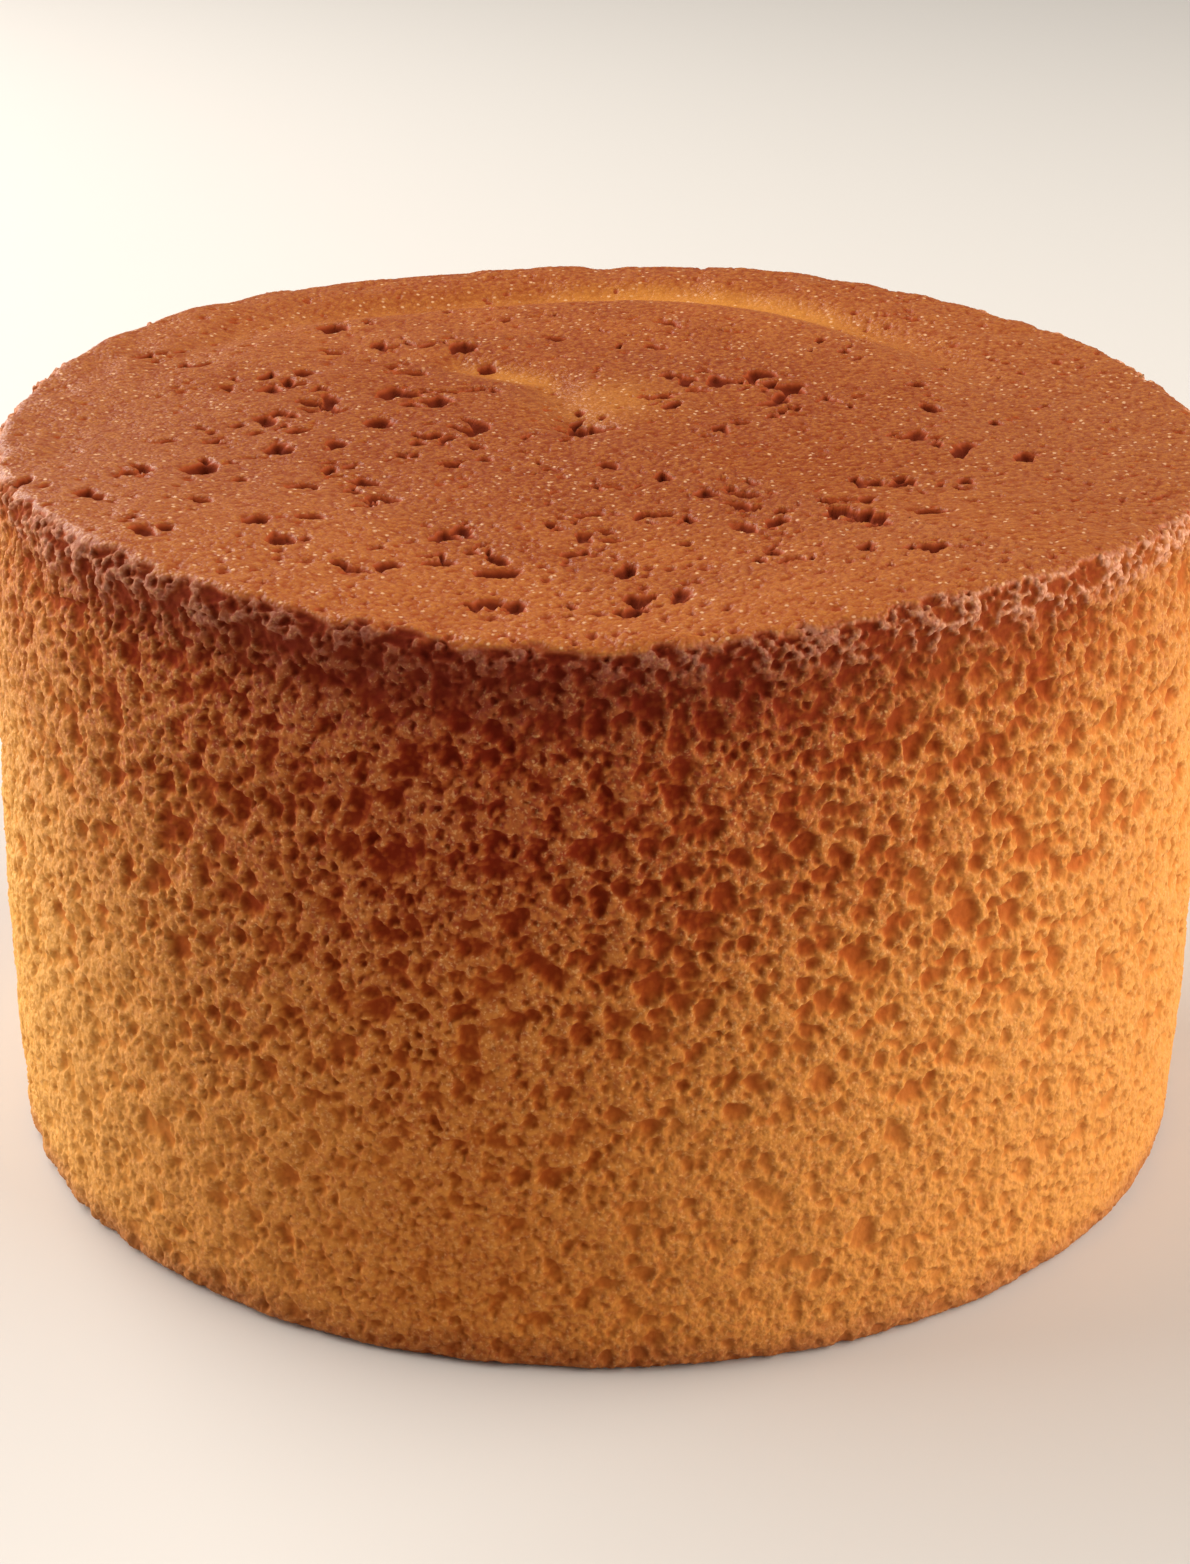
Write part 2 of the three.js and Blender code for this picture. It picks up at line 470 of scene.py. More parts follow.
@dataclass(frozen=True)
class BakedRelief:
    """Relief of the baked skin: pores and grain on the side, burst bubbles and ripples on the crust."""

    form: CakeForm
    pore_rows: int = 7
    pore_columns: int = 36
    pore_shift: float = 0.42
    pore_heights: Pair = (6.0, 103.0)
    pore_width: Pair = (2.8, 5.8)
    pore_least: float = 0.35
    pore_rise: Pair = (15.0, 60.0)
    pore_flatness: float = 0.74
    pore_tall: Pair = (0.8, 1.2)
    pore_margin: float = 4.0
    pore_depth: float = 0.62
    hole_depth: float = 0.45
    hole_edge: float = 1.25
    hole_floor: float = 0.55
    hole_least: float = 0.3
    hole_warp: float = 1.1
    bubbles: int = 340
    bubble_group: int = 4
    bubble_reach: float = 74.0
    bubble_middle: Pair = (-10.0, -8.0)
    bubble_apart: Pair = (9.0, 7.0)
    bubble_width: Pair = (1.4, 3.5)
    bubble_far: float = 0.6
    bubble_back: Pair = (15.0, 60.0)
    bubble_turn: float = 2.0
    bubble_stretch: Pair = (1.1, 1.8)
    specks: int = 22
    speck_width: float = 2.6
    speck_radii: Pair = (14.0, 72.0)
    speck_clear: float = 7.0
    speck_sand: float = 0.6
    speck_patch: Layer = Layer(0.5, 16.0, 154)
    crust_turn: float = 0.95
    crust_fade: float = 0.45
    crust_frays: Tuple[Layer, ...] = (Layer(0.9, 7.0, 121), Layer(1.2, 2.6, 122))
    ragged: Layer = Layer(0.45, 5.0, 161)
    ragged_drop: float = 2.0
    ragged_spread: float = 4.0
    ragged_ring: Pair = (70.0, 85.0)
    base_fade: float = 3.0
    drifts: Tuple[Layer, ...] = (Layer(1.0, 3.4, 101), Layer(0.5, 1.5, 111))
    frays: Tuple[Layer, ...] = (Layer(0.25, 0.9, 81), Layer(0.3, 2.1, 82))
    ripples: Tuple[Layer, ...] = (Layer(0.22, 11.0, 151), Layer(0.12, 4.0, 152))
    uneven: Layer = Layer(0.25, 1.9, 133)
    swell: Layer = Layer(0.3, 5.0, 143)
    groove: Layer = Layer(0.3, 2.8, 144)
    groove_run: Triple = (1.0, 1.0, 0.3)
    groove_span: Pair = (25.0, 75.0)
    bright_middle: float = 74.0
    bright_span: float = 20.0
    bright_least: float = 0.35
    furrow_pale: Pair = (0.2, 0.75)
    patch_pale: float = 0.5
    streak: Triple = (-14.0, 30.0, 10.0)
    patch: Triple = (0.0, 15.0, 15.0)
    deepest: float = 1.5
    deep_share: Pair = (0.12, 0.5)
    deep_rise: Pair = (20.0, 70.0)
    honeycomb: Pair = (95.0, 102.0)
    honeycomb_line: Layer = Layer(2.5, 8.0, 132)
    honeycomb_loss: float = 0.4
    coarse_rise: Pair = (8.0, 76.0)
    coarse_patch: Layer = Layer(16.0, 15.0, 134)
    coarse_middle: float = -85.0
    coarse_least: float = 0.36
    coarse_foot: float = 0.1
    coarse_wave: Pair = (0.2, 0.95)
    grain_middle: float = 0.55
    grain_fray: float = 0.3
    grain_loss: float = 0.75
    grain_fade: Pair = (0.35, 1.0)
    grain_size: float = 0.9
    grain_salt: int = 141
    grain_height: float = 0.3
    sand_height: float = 0.32
    sand_middle: float = 0.6
    sand_least: float = 0.5
    sand_lean: float = 0.8
    sand_span: Pair = (-70.0, 70.0)
    side_foam: Tuple[Foam, ...] = (
        Foam(4.2, (0.3, 0.6), (0.12, 0.85), (0.8, 1.9), 1.3, 1.0, 11),
        Foam(2.7, (0.28, 0.62), (0.85, 0.95), (0.62, 1.25), 0.85, 0.6, 31),
        Foam(1.6, (0.3, 0.62), (0.8, 0.9), (0.36, 0.7), 0.5, 0.2, 51))
    rim_foam: Foam = Foam(1.5, (0.36, 0.64), (0.0, 0.95), (0.6, 0.95), 0.4, 0.2, 61)
    crust_foam: Foam = Foam(2.4, (0.14, 0.36), (0.3, 0.8), (0.5, 0.75), 0.32, 0.3, 71)
    holes: Tuple[Tuple[float, float, float, float], ...] = (
        (-32, 18, 5.2, 6.0), (-24, 19, 4.6, 3.0), (-19.5, 0, 3.4, 6.2), (-34, 2, 5.0, 4.2),
        (-59, -22, 5.6, 6.0), (-48, -12, 4.0, 6.0), (-40, -10, 3.4, 5.0), (-43, -30, 5.2, 3.4),
        (-48, -48, 4.2, 4.6), (-41, -45, 5.0, 3.0), (-13.5, -64, 5.4, 4.0), (3, -63, 2.6, 4.2),
        (7.5, -40, 4.2, 4.0), (9, -22, 3.2, 5.0), (0.7, -18, 3.0, 4.2), (25, 29, 4.4, 4.0),
        (51, 11, 4.2, 4.2), (54, -10, 3.0, 7.0), (63, -13, 3.6, 5.2), (46.5, -40, 4.0, 4.2),
        (-23, 42, 5.2, 4.0), (-45, 50, 4.6, 5.0))

    def drift(self, at: Array) -> Array:
        """Noise along each axis, which keeps hollows from being round."""
        return np.stack([sum(layer.on(at, axis) for layer in self.drifts) for axis in range(3)], -1)

    def side_pores(self, at: Array, bearing: Array, crumbly: Array) -> Array:
        """Depth of the large pores of the side.

        One pore sits in each cell of a staggered grid, moved about in its cell. Its mouth is an
        ellipse, and its depth grows from the frayed edge in as in the foam.

        Args:
            at: Warped points.
            bearing: Bearings of the points in degrees.
            crumbly: Noise that frays the edges.

        Returns:
            Depths.
        """
        item = np.arange(self.pore_rows * self.pore_columns)
        row = item // self.pore_columns
        aside = self.pore_shift * (2.0 * draw(item, Purpose.PORE_TURN) - 1.0)
        above = self.pore_shift * (2.0 * draw(item, Purpose.PORE_RISE) - 1.0)
        turn = (item + 0.5 * row + aside) / self.pore_columns
        rise = (row + 0.5 + above) / self.pore_rows
        middle = 360.0 * fraction(turn) - 180.0
        height = blend(*self.pore_heights, rise)
        bulk = draw(item, Purpose.PORE_BULK) * blend(self.pore_least, 1.0, ease(*self.pore_rise, height))
        width = blend(*self.pore_width, bulk)
        tall = width * self.pore_flatness * blend(*self.pore_tall, draw(item, Purpose.PORE_TALL))
        deepest = np.zeros(len(at))
        round_at = np.degrees(np.arctan2(at[:, 1], at[:, 0]))
        radius = np.hypot(at[:, 0], at[:, 1])
        apart = np.abs((middle - bearing.mean() + 180.0) % 360.0 - 180.0)
        for n in item[apart < np.ptp(bearing) / 2.0 + self.pore_margin]:
            across = np.radians((round_at - middle[n] + 180.0) % 360.0 - 180.0) * radius
            near = np.hypot(across / (0.5 * width[n]), (at[:, 2] - height[n]) / (0.5 * tall[n]))
            inside = 0.5 * tall[n] * (1.0 - near) + crumbly
            deepest = np.maximum(deepest, self.pore_depth * width[n] * hollow(inside, 0.5 * tall[n]))
        return deepest

    def crust_holes(self, at: Array) -> Array:
        """Depth of the burst bubbles of the crust, of the specks and of the small bubbles between them.

        The small bubbles lie in loose groups. Their middles are drawn evenly over a disc: the radius goes
        with the root of a draw.

        Args:
            at: Warped points.

        Returns:
            Depths, eased from each ellipse's edge in.
        """
        item = np.arange(self.specks)
        turn = 2.0 * math.pi * fraction(0.5 + item * SPREAD[0])
        radius = blend(*self.speck_radii, np.sqrt(fraction(0.5 + item * SPREAD[1])))
        speck = np.stack((radius * np.cos(turn), radius * np.sin(turn)), -1)
        hole = np.array(self.holes)
        clear = np.linalg.norm(speck[:, None] - hole[None, :, :2], axis=-1).min(1) > self.speck_clear
        small = np.column_stack((speck[clear], np.full((clear.sum(), 2), self.speck_width)))
        item = np.arange(self.bubbles)
        group = item // self.bubble_group
        turn = 2.0 * math.pi * draw(group, Purpose.GROUP_TURN)
        radius = self.bubble_reach * np.sqrt(draw(group, Purpose.GROUP_RADIUS))
        across = self.bubble_apart[0] * (draw(item, Purpose.BUBBLE_ACROSS) - 0.5)
        along = self.bubble_apart[1] * (draw(item, Purpose.BUBBLE_ALONG) - 0.5)
        x = self.bubble_middle[0] + radius * np.cos(turn) + across
        y = self.bubble_middle[1] + radius * np.sin(turn) + along
        width = blend(*self.bubble_width, draw(item, Purpose.BUBBLE_WIDTH) ** 2)
        width = width * blend(1.0, self.bubble_far, ease(*self.bubble_back, y))
        length = width * blend(*self.bubble_stretch, draw(item, Purpose.BUBBLE_LENGTH))
        turn = self.bubble_turn * (draw(item, Purpose.BUBBLE_TURN) - 0.5)
        fine = np.column_stack((x, y, width, length, turn))
        deepest = np.zeros(len(at))
        straight = np.pad(np.vstack((hole, small)), ((0, 0), (0, 1)))
        for x, y, width, length, turn in np.vstack((straight, fine)):
            across = (at[:, 0] - x) * math.cos(turn) + (at[:, 1] - y) * math.sin(turn)
            along = (at[:, 1] - y) * math.cos(turn) - (at[:, 0] - x) * math.sin(turn)
            near = np.hypot(across / (0.5 * width), along / (0.5 * length))
            depth = self.hole_depth * min(width, length) + self.hole_least
            deepest = np.maximum(deepest, depth * ease(self.hole_edge, self.hole_floor, near))
        return deepest

    def crust_share(self, skin: Skin) -> Array:
        """Share of crust: 1 past a ragged line on the rim's round, moved by two noises.

        Args:
            skin: Plain skin.

        Returns:
            Shares from 0 to 1.
        """
        line = self.form.side_length + self.form.rim_round * self.crust_turn
        drift = sum(layer.on(skin.at) for layer in self.crust_frays)
        return ease(-self.crust_fade, self.crust_fade, skin.path - line + drift)

    def coarse_share(self, skin: Skin) -> Array:
        """Share of coarse crumb: it grows with height, in patches, and two waves round the cake set it off.

        Args:
            skin: Plain skin.

        Returns:
            Shares from 0 to 1.
        """
        wave = 0.5 + 0.5 * np.cos(np.radians(2.0 * (skin.bearing - self.coarse_middle)))
        rise = ease(*self.coarse_rise, skin.at[:, 2] + self.coarse_patch.on(skin.at))
        wave = ease(*self.coarse_wave, wave)
        return blend(self.coarse_foot, 1.0, rise) * blend(self.coarse_least, 1.0, wave)

    def crumb_pits(self, skin: Skin, drift: Array, crumbly: Array, coarse: Array) -> Array:
        """Depth of the pits of the side.

        The deepest of the large pores, the layers of foam and the honeycomb under the rim holds.

        Args:
            skin: Plain skin.
            drift: Noise that moves its points.
            crumbly: Noise that frays the edges of the pits.
            coarse: Share of coarse crumb.

        Returns:
            Depths.
        """
        z = skin.at[:, 2]
        under = ease(*self.honeycomb, z + self.honeycomb_line.on(skin.at))
        share = blend(*self.deep_share, ease(*self.deep_rise, z))
        pit = self.side_pores(skin.at + drift, skin.bearing, crumbly) * share
        coarse = coarse * (1.0 - self.honeycomb_loss * under)
        for foam in self.side_foam:
            pit = np.maximum(pit, foam.pits(skin.at, drift, crumbly, coarse))
        pit = np.maximum(pit, self.rim_foam.pits(skin.at, drift, crumbly, under))
        pit = pit * (1.0 + self.uneven.on(skin.at))
        return self.deepest * np.tanh(pit / self.deepest)

    def crust_pits(self, skin: Skin, drift: Array, sandy: Array) -> Array:
        """Depth of the pits of the crust: the burst bubbles and a patchy foam of specks.

        Args:
            skin: Plain skin.
            drift: Noise that moves its points.
            sandy: Share of sandy crust.

        Returns:
            Depths.
        """
        patchy = self.speck_sand * sandy + self.speck_patch.on(skin.at)
        specks = self.crust_foam.pits(skin.at, drift, np.zeros(len(drift)), np.clip(patchy, 0.0, 1.0))
        return np.maximum(self.crust_holes(skin.at + self.hole_warp * drift), specks)

    def pale_share(self, x: Array, y: Array) -> Array:
        """Share of paler crust: the crease, most of all right of its middle, the furrow and a patch.

        Args:
            x: Places across.
            y: Places along.

        Returns:
            Shares from 0 to 1.
        """
        off = (np.degrees(np.arctan2(y, x)) - self.bright_middle) / self.bright_span
        bright = blend(self.bright_least, 1.0, bell(off))
        streak = bell((x - self.streak[0]) / self.streak[2]) * bell((y - self.streak[1]) / self.streak[2])
        patch = bell(np.hypot(x - self.patch[0], y - self.patch[1]) / self.patch[2])
        furrow = self.form.furrow(x, y) * blend(*self.furrow_pale, streak)
        return np.maximum(np.maximum(bright * self.form.crease(x, y), furrow), self.patch_pale * patch)

    def carve(self, skin: Skin) -> Relief:
        """Skin with its relief.

        The side sinks by its pits, rounded grains stand on what is left, and faint upright grooves run down
        the left. The crust sinks by its holes and rises and falls in slow ripples and sandy grains.
        The crust share mixes the two, and all relief fades out at the base.

        Args:
            skin: Plain skin.

        Returns:
            Carved points with the marks pit, tip, crust and pale.
        """
        at = skin.at
        grain = beads(at, self.grain_size, self.grain_salt)
        drift = self.drift(at)
        stand = grain - self.grain_middle
        crumbly = sum(layer.on(at) for layer in self.frays) - self.grain_fray * stand
        crust = self.crust_share(skin)
        coarse = self.coarse_share(skin)
        sandy = ease(*self.sand_span, at[:, 0] - self.sand_lean * at[:, 1])
        pit = np.zeros(len(at))
        hole = np.zeros(len(at))
        open_side = crust < 1.0
        on_top = crust > 0.0
        if open_side.any():
            pit[open_side] = self.crumb_pits(
                skin.part(open_side), drift[open_side], crumbly[open_side], coarse[open_side])
        if on_top.any():
            hole[on_top] = self.crust_pits(skin.part(on_top), drift[on_top], sandy[on_top])
        rough = self.grain_height * stand * (1.0 - self.grain_loss * ease(*self.grain_fade, pit))
        groove = self.groove.on(at * self.groove_run) * ease(*self.groove_span, -at[:, 0])
        side = self.swell.on(at) + groove + rough - pit
        ripple = sum(layer.on(at) for layer in self.ripples)
        ripple = ripple + self.sand_height * (grain - self.sand_middle) * blend(self.sand_least, 1.0, sandy)
        edge = bell((at[:, 2] - self.form.rim_height + self.ragged_drop) / self.ragged_spread)
        edge = edge * ease(*self.ragged_ring, np.hypot(at[:, 0], at[:, 1]))
        step = blend(side, ripple - hole, crust) + edge * self.ragged.on(at)
        step = step * ease(0.0, self.base_fade, skin.path)
        depth = blend(pit, hole, crust)
        pale = self.pale_share(at[:, 0], at[:, 1]) * crust
        marks = {"pit": np.clip(depth / self.deepest, 0.0, 1.0), "tip": grain, "crust": crust, "pale": pale}
        return Relief(at + skin.out * step[:, None], marks, np.zeros_like(at))


def join(operation: str, reflected: bool = False) -> Callable[["Term", "Feed"], "Term"]:
    """Operator of a term, made by a Math node.

    Args:
        operation: Operation of the node.
        reflected: Whether the other value comes first.

    Returns:
        The operator.
    """
    def operator(term: "Term", other: "Feed") -> "Term":
        """Math node on the term and the other value."""
        pair = (other, term) if reflected else (term, other)
        return term.bench.node("ShaderNodeMath", {"operation": operation}, dict(enumerate(pair)))

    return operator


class Term:
    """Value, colour or vector on its way through the nodes of a finish."""

    def __init__(self, bench: "Bench", socket: bpy.types.NodeSocket) -> None:
        """Keeps the socket and the bench that it belongs to."""
        self.bench = bench
        self.socket = socket

    __add__ = join("ADD")
    __radd__ = join("ADD", reflected=True)
    __sub__ = join("SUBTRACT")
    __rsub__ = join("SUBTRACT", reflected=True)
    __mul__ = join("MULTIPLY")
    __rmul__ = join("MULTIPLY", reflected=True)
    __truediv__ = join("DIVIDE")
    __rtruediv__ = join("DIVIDE", reflected=True)

    def beside(self, output: Any) -> "Term":
        """Another output of the same node."""
        return Term(self.bench, self.socket.node.outputs[output])

    def eased(self, low: float, high: float) -> "Term":
        """Smooth step of this from 0 at the low edge to 1 at the high edge."""
        settings = {"interpolation_type": "SMOOTHSTEP"}
        return self.bench.node("ShaderNodeMapRange", settings, {0: self, 1: low, 2: high, 3: 0.0, 4: 1.0})


Feed = Union[Term, float, str, Sequence[float]]


class Bench:
    """Node bench of one material."""

    glint_edge: Pair = (0.32, 0.12)
    glint_chance: Pair = (0.45, 0.75)

    def __init__(self, name: str) -> None:
        """Starts an empty material."""
        self.material = bpy.data.materials.new(name)
        self.material.use_nodes = True
        self.tree = self.material.node_tree
        self.tree.nodes.clear()

    def node(
            self, kind: str, settings: Mapping[str, Any], sockets: Mapping[Any, Feed], output: Any = 0
    ) -> Term:
        """Adds a node.

        Args:
            kind: Type of the node.
            settings: Properties, which are set first.
            sockets: Values, colour codes or links of the inputs, by name or place.
            output: Name or place of the output to go on from.

        Returns:
            The chosen output.
        """
        made = self.tree.nodes.new(kind)
        for key, value in settings.items():
            setattr(made, key, value)
        for key, value in sockets.items():
            if isinstance(value, Term):
                self.tree.links.new(value.socket, made.inputs[key])
            else:
                made.inputs[key].default_value = tint(value) if isinstance(value, str) else value
        return Term(self, made.outputs[output]) if len(made.outputs) else Term(self, made.inputs[0])

    def surface(self, sockets: Mapping[str, Feed]) -> bpy.types.Material:
        """Ends the nodes with a surface.

        Args:
            sockets: Values, colour codes or links of the surface's inputs, by name.

        Returns:
            The material.
        """
        shader = self.node("ShaderNodeBsdfPrincipled", {}, sockets)
        self.node("ShaderNodeOutputMaterial", {}, {"Surface": shader})
        return self.material

    def place(self) -> Term:
        """Object coordinates, in metres."""
        return self.node("ShaderNodeTexCoord", {}, {}, "Object")

    def mark(self, name: str) -> Term:
        """Mark that a piece carries at each point."""
        return self.node("ShaderNodeAttribute", {"attribute_name": name}, {}, "Fac")

    def noise(self, at: Term, size: float, detail: float = 2.0) -> Term:
        """Noise in 0 to 1 of a size in millimetres."""
        sockets = {"Vector": at, "Scale": 1.0 / (size * MM), "Detail": detail, "Roughness": 0.55}
        return self.node("ShaderNodeTexNoise", {"noise_dimensions": "3D"}, sockets, 0)

    def grains(self, at: Term, size: float) -> Term:
        """Distance from the middle of scattered grains, in units of their size in millimetres."""
        sockets = {"Vector": at, "Scale": 1.0 / (size * MM)}
        settings = {"voronoi_dimensions": "3D", "feature": "F1"}
        return self.node("ShaderNodeTexVoronoi", settings, sockets, "Distance")

    def swirl(self, at: Term, size: float, reach: float) -> Term:
        """Place moved by a coloured noise of a size, by up to a reach, both in millimetres."""
        noise = self.noise(at, size, 1.0).beside("Color")
        settings = {"operation": "MULTIPLY_ADD"}
        return self.node("ShaderNodeVectorMath", settings, {0: noise, 1: (reach * MM,) * 3, 2: at})

    def glints(self, at: Term, size: float) -> Term:
        """Painted glints: dots of unlike strength in the middle of some of the grains of a size in
        millimetres.
        """
        grain = self.grains(at, size)
        return grain.eased(*self.glint_edge) * grain.beside("Color").eased(*self.glint_chance)

    def mix(self, share: Feed, first: Feed, second: Feed, way: str = "MIX") -> Term:
        """Colour from the first at share 0 to the second, laid on in the given way, at share 1."""
        settings = {"data_type": "RGBA", "clamp_factor": True, "blend_type": way}
        return self.node("ShaderNodeMix", settings, {0: share, 6: first, 7: second}, 2)

    def shade(self, share: Feed, colour: Feed, factor: Feed) -> Term:
        """Colour at share 0, multiplied by a factor for each channel at share 1."""
        return self.mix(share, colour, factor, "MULTIPLY")


@dataclass(frozen=True)
class BakedFinish:
    """Baked skin: golden open crumb on the side, a band under the rim browned and darkened by painted
    shade, a thin browned crust on top.

    The rises, bands and edges are heights in metres between which a tone comes in.
    """

    crumb_gold: str = "#a85618"
    # Straw and orange are painted light: paler tones laid on the lamp-lit left and right flanks.
    crumb_straw: str = "#daa555"
    crumb_orange: str = "#d7954c"
    crumb_amber: str = "#933c17"
    # Painted highlight laid on the tops of the grain and on the strands.
    crumb_tip_highlight: str = "#da923e"
    # Painted glints on the crumb's ridges.
    crumb_glint: str = "#ecb878"
    # Pit and deep tints are painted shade, multiplied in with depth in the pits and dimples and between the
    # crust's grains.
    pit_shade: str = "#efd4c2"
    deep_shade: str = "#e8c3b2"
    # Painted shade over the upper front, away from both lamps.
    front_shade_tint: str = "#f1dde8"
    # Band under the rim: browning with painted shade, darker at the front than at the sides.
    rim_front: str = "#6e2411"
    rim_side: str = "#8c4526"
    # Painted reflection: pale pinkish sheen along the rim's edge.
    rim_sheen: str = "#e0a68a"
    foot_shade: str = "#d4c5dc"
    crust_outer: str = "#a65929"
    crust_side: str = "#99532e"
    crust_inner: str = "#8f441f"
    crust_pale: str = "#d68f3c"
    # Painted glints on the crust.
    crust_glint: str = "#ecbe92"
    # Hole walls and floors are painted shade.
    crust_wall: str = "#a4481a"
    crust_hole: str = "#762a10"
    amber_rise: Pair = (0.012, 0.1)
    front_shade_rise: Pair = (0.045, 0.09)
    rim_band: Pair = (0.09, 0.104)
    rim_edge: Pair = (0.103, 0.108)
    foot_band: Pair = (0.0005, 0.0075)
    dimple: float = 1.15
    swirl: Pair = (1.6, 1.4)
    grit_size: float = 0.6
    patch_size: float = 22.0
    wobble_size: float = 7.0
    rim_sheen_size: float = 0.7
    sparkle_size: float = 0.55
    crumb_glint_size: float = 0.95
    crust_glint_size: float = 1.25
    blotch_size: float = 15.0
    cloud_size: float = 14.0
    rough_size: float = 3.0
    crumb_rough: float = 0.65
    crust_rough: float = 0.36
    bump: float = 0.19
    axis_guard: float = 1.0e-6
    bend: float = 1.42
    gloss: float = 0.2

    def crumb_colour(self, bench: Bench, at: Term, axes: Term, lateral: Term, net: Term) -> Term:
        """Colour of the open crumb.

        Args:
            bench: Node bench.
            at: Object coordinates.
            axes: Height in metres, beside the places across and along.
            lateral: 0 at the front and the back, 1 at the left and the right.
            net: Fine strands, 0 in the dimples between them.

        Returns:
            Golden low down and amber higher up, with paler straw and orange on the lamp-lit left and right
            as painted light, a painted highlight on the grain and strands, painted shade in the dimples,
            the pits and the upper front, browning with painted shade in the band under the rim, browned at
            the foot, a painted pinkish sheen along the rim's edge and painted glints.
        """
        height = axes
        patch = bench.noise(at, self.patch_size, 3.0) * 0.05 - 0.025
        right = axes.beside("X").eased(-0.03, 0.06)
        # Amber rising with height is browning. Its shift up on the lamp-lit flanks and the right, and the
        # straw and orange laid on those flanks, are painted light: the lit sides are painted paler than the
        # darker gold front and back.
        browned = (height + patch - lateral * 0.03 - right * 0.022).eased(*self.amber_rise)
        light = bench.mix(right, self.crumb_straw, self.crumb_orange)
        behind = axes.beside("Y").eased(0.01, 0.07) * (1.0 - right)
        flank = (lateral + right * (1.0 - lateral) * 0.5) * (1.0 - behind * 0.75)
        light = bench.mix(flank, self.crumb_gold, light)
        colour = bench.mix(browned, light, self.crumb_amber)
        # Painted highlight on the tops of the grain and the raised strands; painted shade in the dimples
        # between the strands.
        tip = bench.mark("tip")
        colour = bench.mix(tip.eased(0.55, 0.95) * 0.25, colour, self.crumb_tip_highlight)
        pit = bench.mark("pit")
        strand = net.eased(0.25, 0.75) * (1.0 - pit.eased(0.1, 0.5))
        colour = bench.mix(strand * 0.32, colour, self.crumb_tip_highlight)
        dimple = (1.0 - net.eased(0.1, 0.55)) * (0.4 - pit.eased(0.2, 0.6) * 0.25)
        colour = bench.shade(dimple, colour, self.pit_shade)
        wobble = bench.noise(at, self.wobble_size, 3.0) * 0.006 - 0.003
        under = (height + wobble - lateral * 0.011).eased(*self.rim_band)
        # Painted shade: the upper front, away from both lamps, is darkened, less on the flanks and the
        # right.
        painted_front_shade = height.eased(*self.front_shade_rise) * (1.0 - lateral.eased(0.0, 0.5)) * (1.0 - right * 0.7)
        colour = bench.shade(painted_front_shade, colour, self.front_shade_tint)
        # Browning and painted shade under the rim: darkest at the front under the crust's lip, lighter on
        # the lamp-lit flanks and the right.
        band = bench.mix(lateral, self.rim_front, self.rim_side)
        colour = bench.mix(under * (0.8 - lateral * 0.2) * (1.0 - right * 0.45), colour, band)
        # Painted reflection: a pale pinkish sheen on the ridges along the rim's top edge, strongest on the
        # lamp-lit flanks and the right.
        sheen_patches = bench.noise(at, self.rim_sheen_size, 1.0).eased(0.42, 0.62)
        ridge = (1.0 - pit.eased(0.1, 0.4)) * (0.3 + sheen_patches * 0.7)
        edge = (height + wobble).eased(*self.rim_edge) * (0.1 + lateral * 0.42 + right * 0.34) * ridge
        colour = bench.mix(edge, colour, self.rim_sheen)
        foot = 1.0 - (height + wobble).eased(*self.foot_band)
        colour = bench.shade(foot, colour, self.foot_shade)
        # Painted shade in the pits: redder and darker with depth, weaker on the lit right and low down.
        calm = 0.6 - right * 0.15 + height.eased(0.02, 0.07) * 0.35
        colour = bench.shade(pit.eased(0.05, 0.6) * calm, colour, self.pit_shade)
        colour = bench.shade(pit.eased(0.3, 0.85) * calm, colour, self.deep_shade)
        # Painted glints: pale dots laid into the colour on the ridges, fewer under the rim and none in the
        # pits.
        painted_sparkle = bench.noise(at, self.sparkle_size, 1.0).eased(0.55, 0.72) * 0.3
        painted_sparkle = painted_sparkle + bench.glints(at, self.crumb_glint_size) * 0.36
        painted_sparkle = painted_sparkle * (0.55 + height.eased(0.01, 0.06) * 0.45 - under * 0.5)
        painted_sparkle = painted_sparkle * (1.0 - pit.eased(0.1, 0.4))
        return bench.mix(painted_sparkle, colour, self.crumb_glint)

    def crust_colour(self, bench: Bench, at: Term, lateral: Term, grit: Term) -> Term:
        """Colour of the crust.

        Args:
            bench: Node bench.
            at: Object coordinates.
            lateral: 0 at the front and the back, 1 at the left and the right.
            grit: Fine grain.

        Returns:
            Orange-brown towards the rim, purple-brown blotches in the middle, pale in the crease and the
            furrow, a painted highlight on the grain's tops with painted shade between them, painted shade
            in the holes, and a sprinkle of painted glints.
        """
        flat = bench.node("ShaderNodeVectorMath", {"operation": "MULTIPLY"}, {0: at, 1: (1.0, 1.0, 0.0)})
        radius = bench.node("ShaderNodeVectorMath", {"operation": "LENGTH"}, {0: flat}, "Value")
        blotch = bench.noise(at, self.blotch_size, 4.0) * 0.09 - 0.045
        back = bench.node("ShaderNodeSeparateXYZ", {}, {0: at}, "Y").eased(0.04, 0.09)
        outer = bench.mix(lateral, self.crust_outer, self.crust_side)
        outer = bench.mix(back * 0.6, outer, self.crust_inner)
        colour = bench.mix((radius + blotch).eased(0.03, 0.08), self.crust_inner, outer)
        # Painted highlight on the tops of the crust's grains and painted shade between them.
        tip = bench.mark("tip")
        colour = bench.mix(tip.eased(0.6, 1.0) * 0.25, colour, self.crust_pale)
        colour = bench.shade(1.0 - tip.eased(0.2, 0.6), colour, self.pit_shade)
        colour = bench.mix(grit.eased(0.5, 0.9) * 0.25, colour, self.crust_pale)
        soft = bench.mark("pale") * (0.6 + bench.noise(at, self.cloud_size, 4.0) * 0.8)
        colour = bench.mix(soft.eased(0.05, 1.0) * 0.64, colour, self.crust_pale)
        pit = bench.mark("pit")
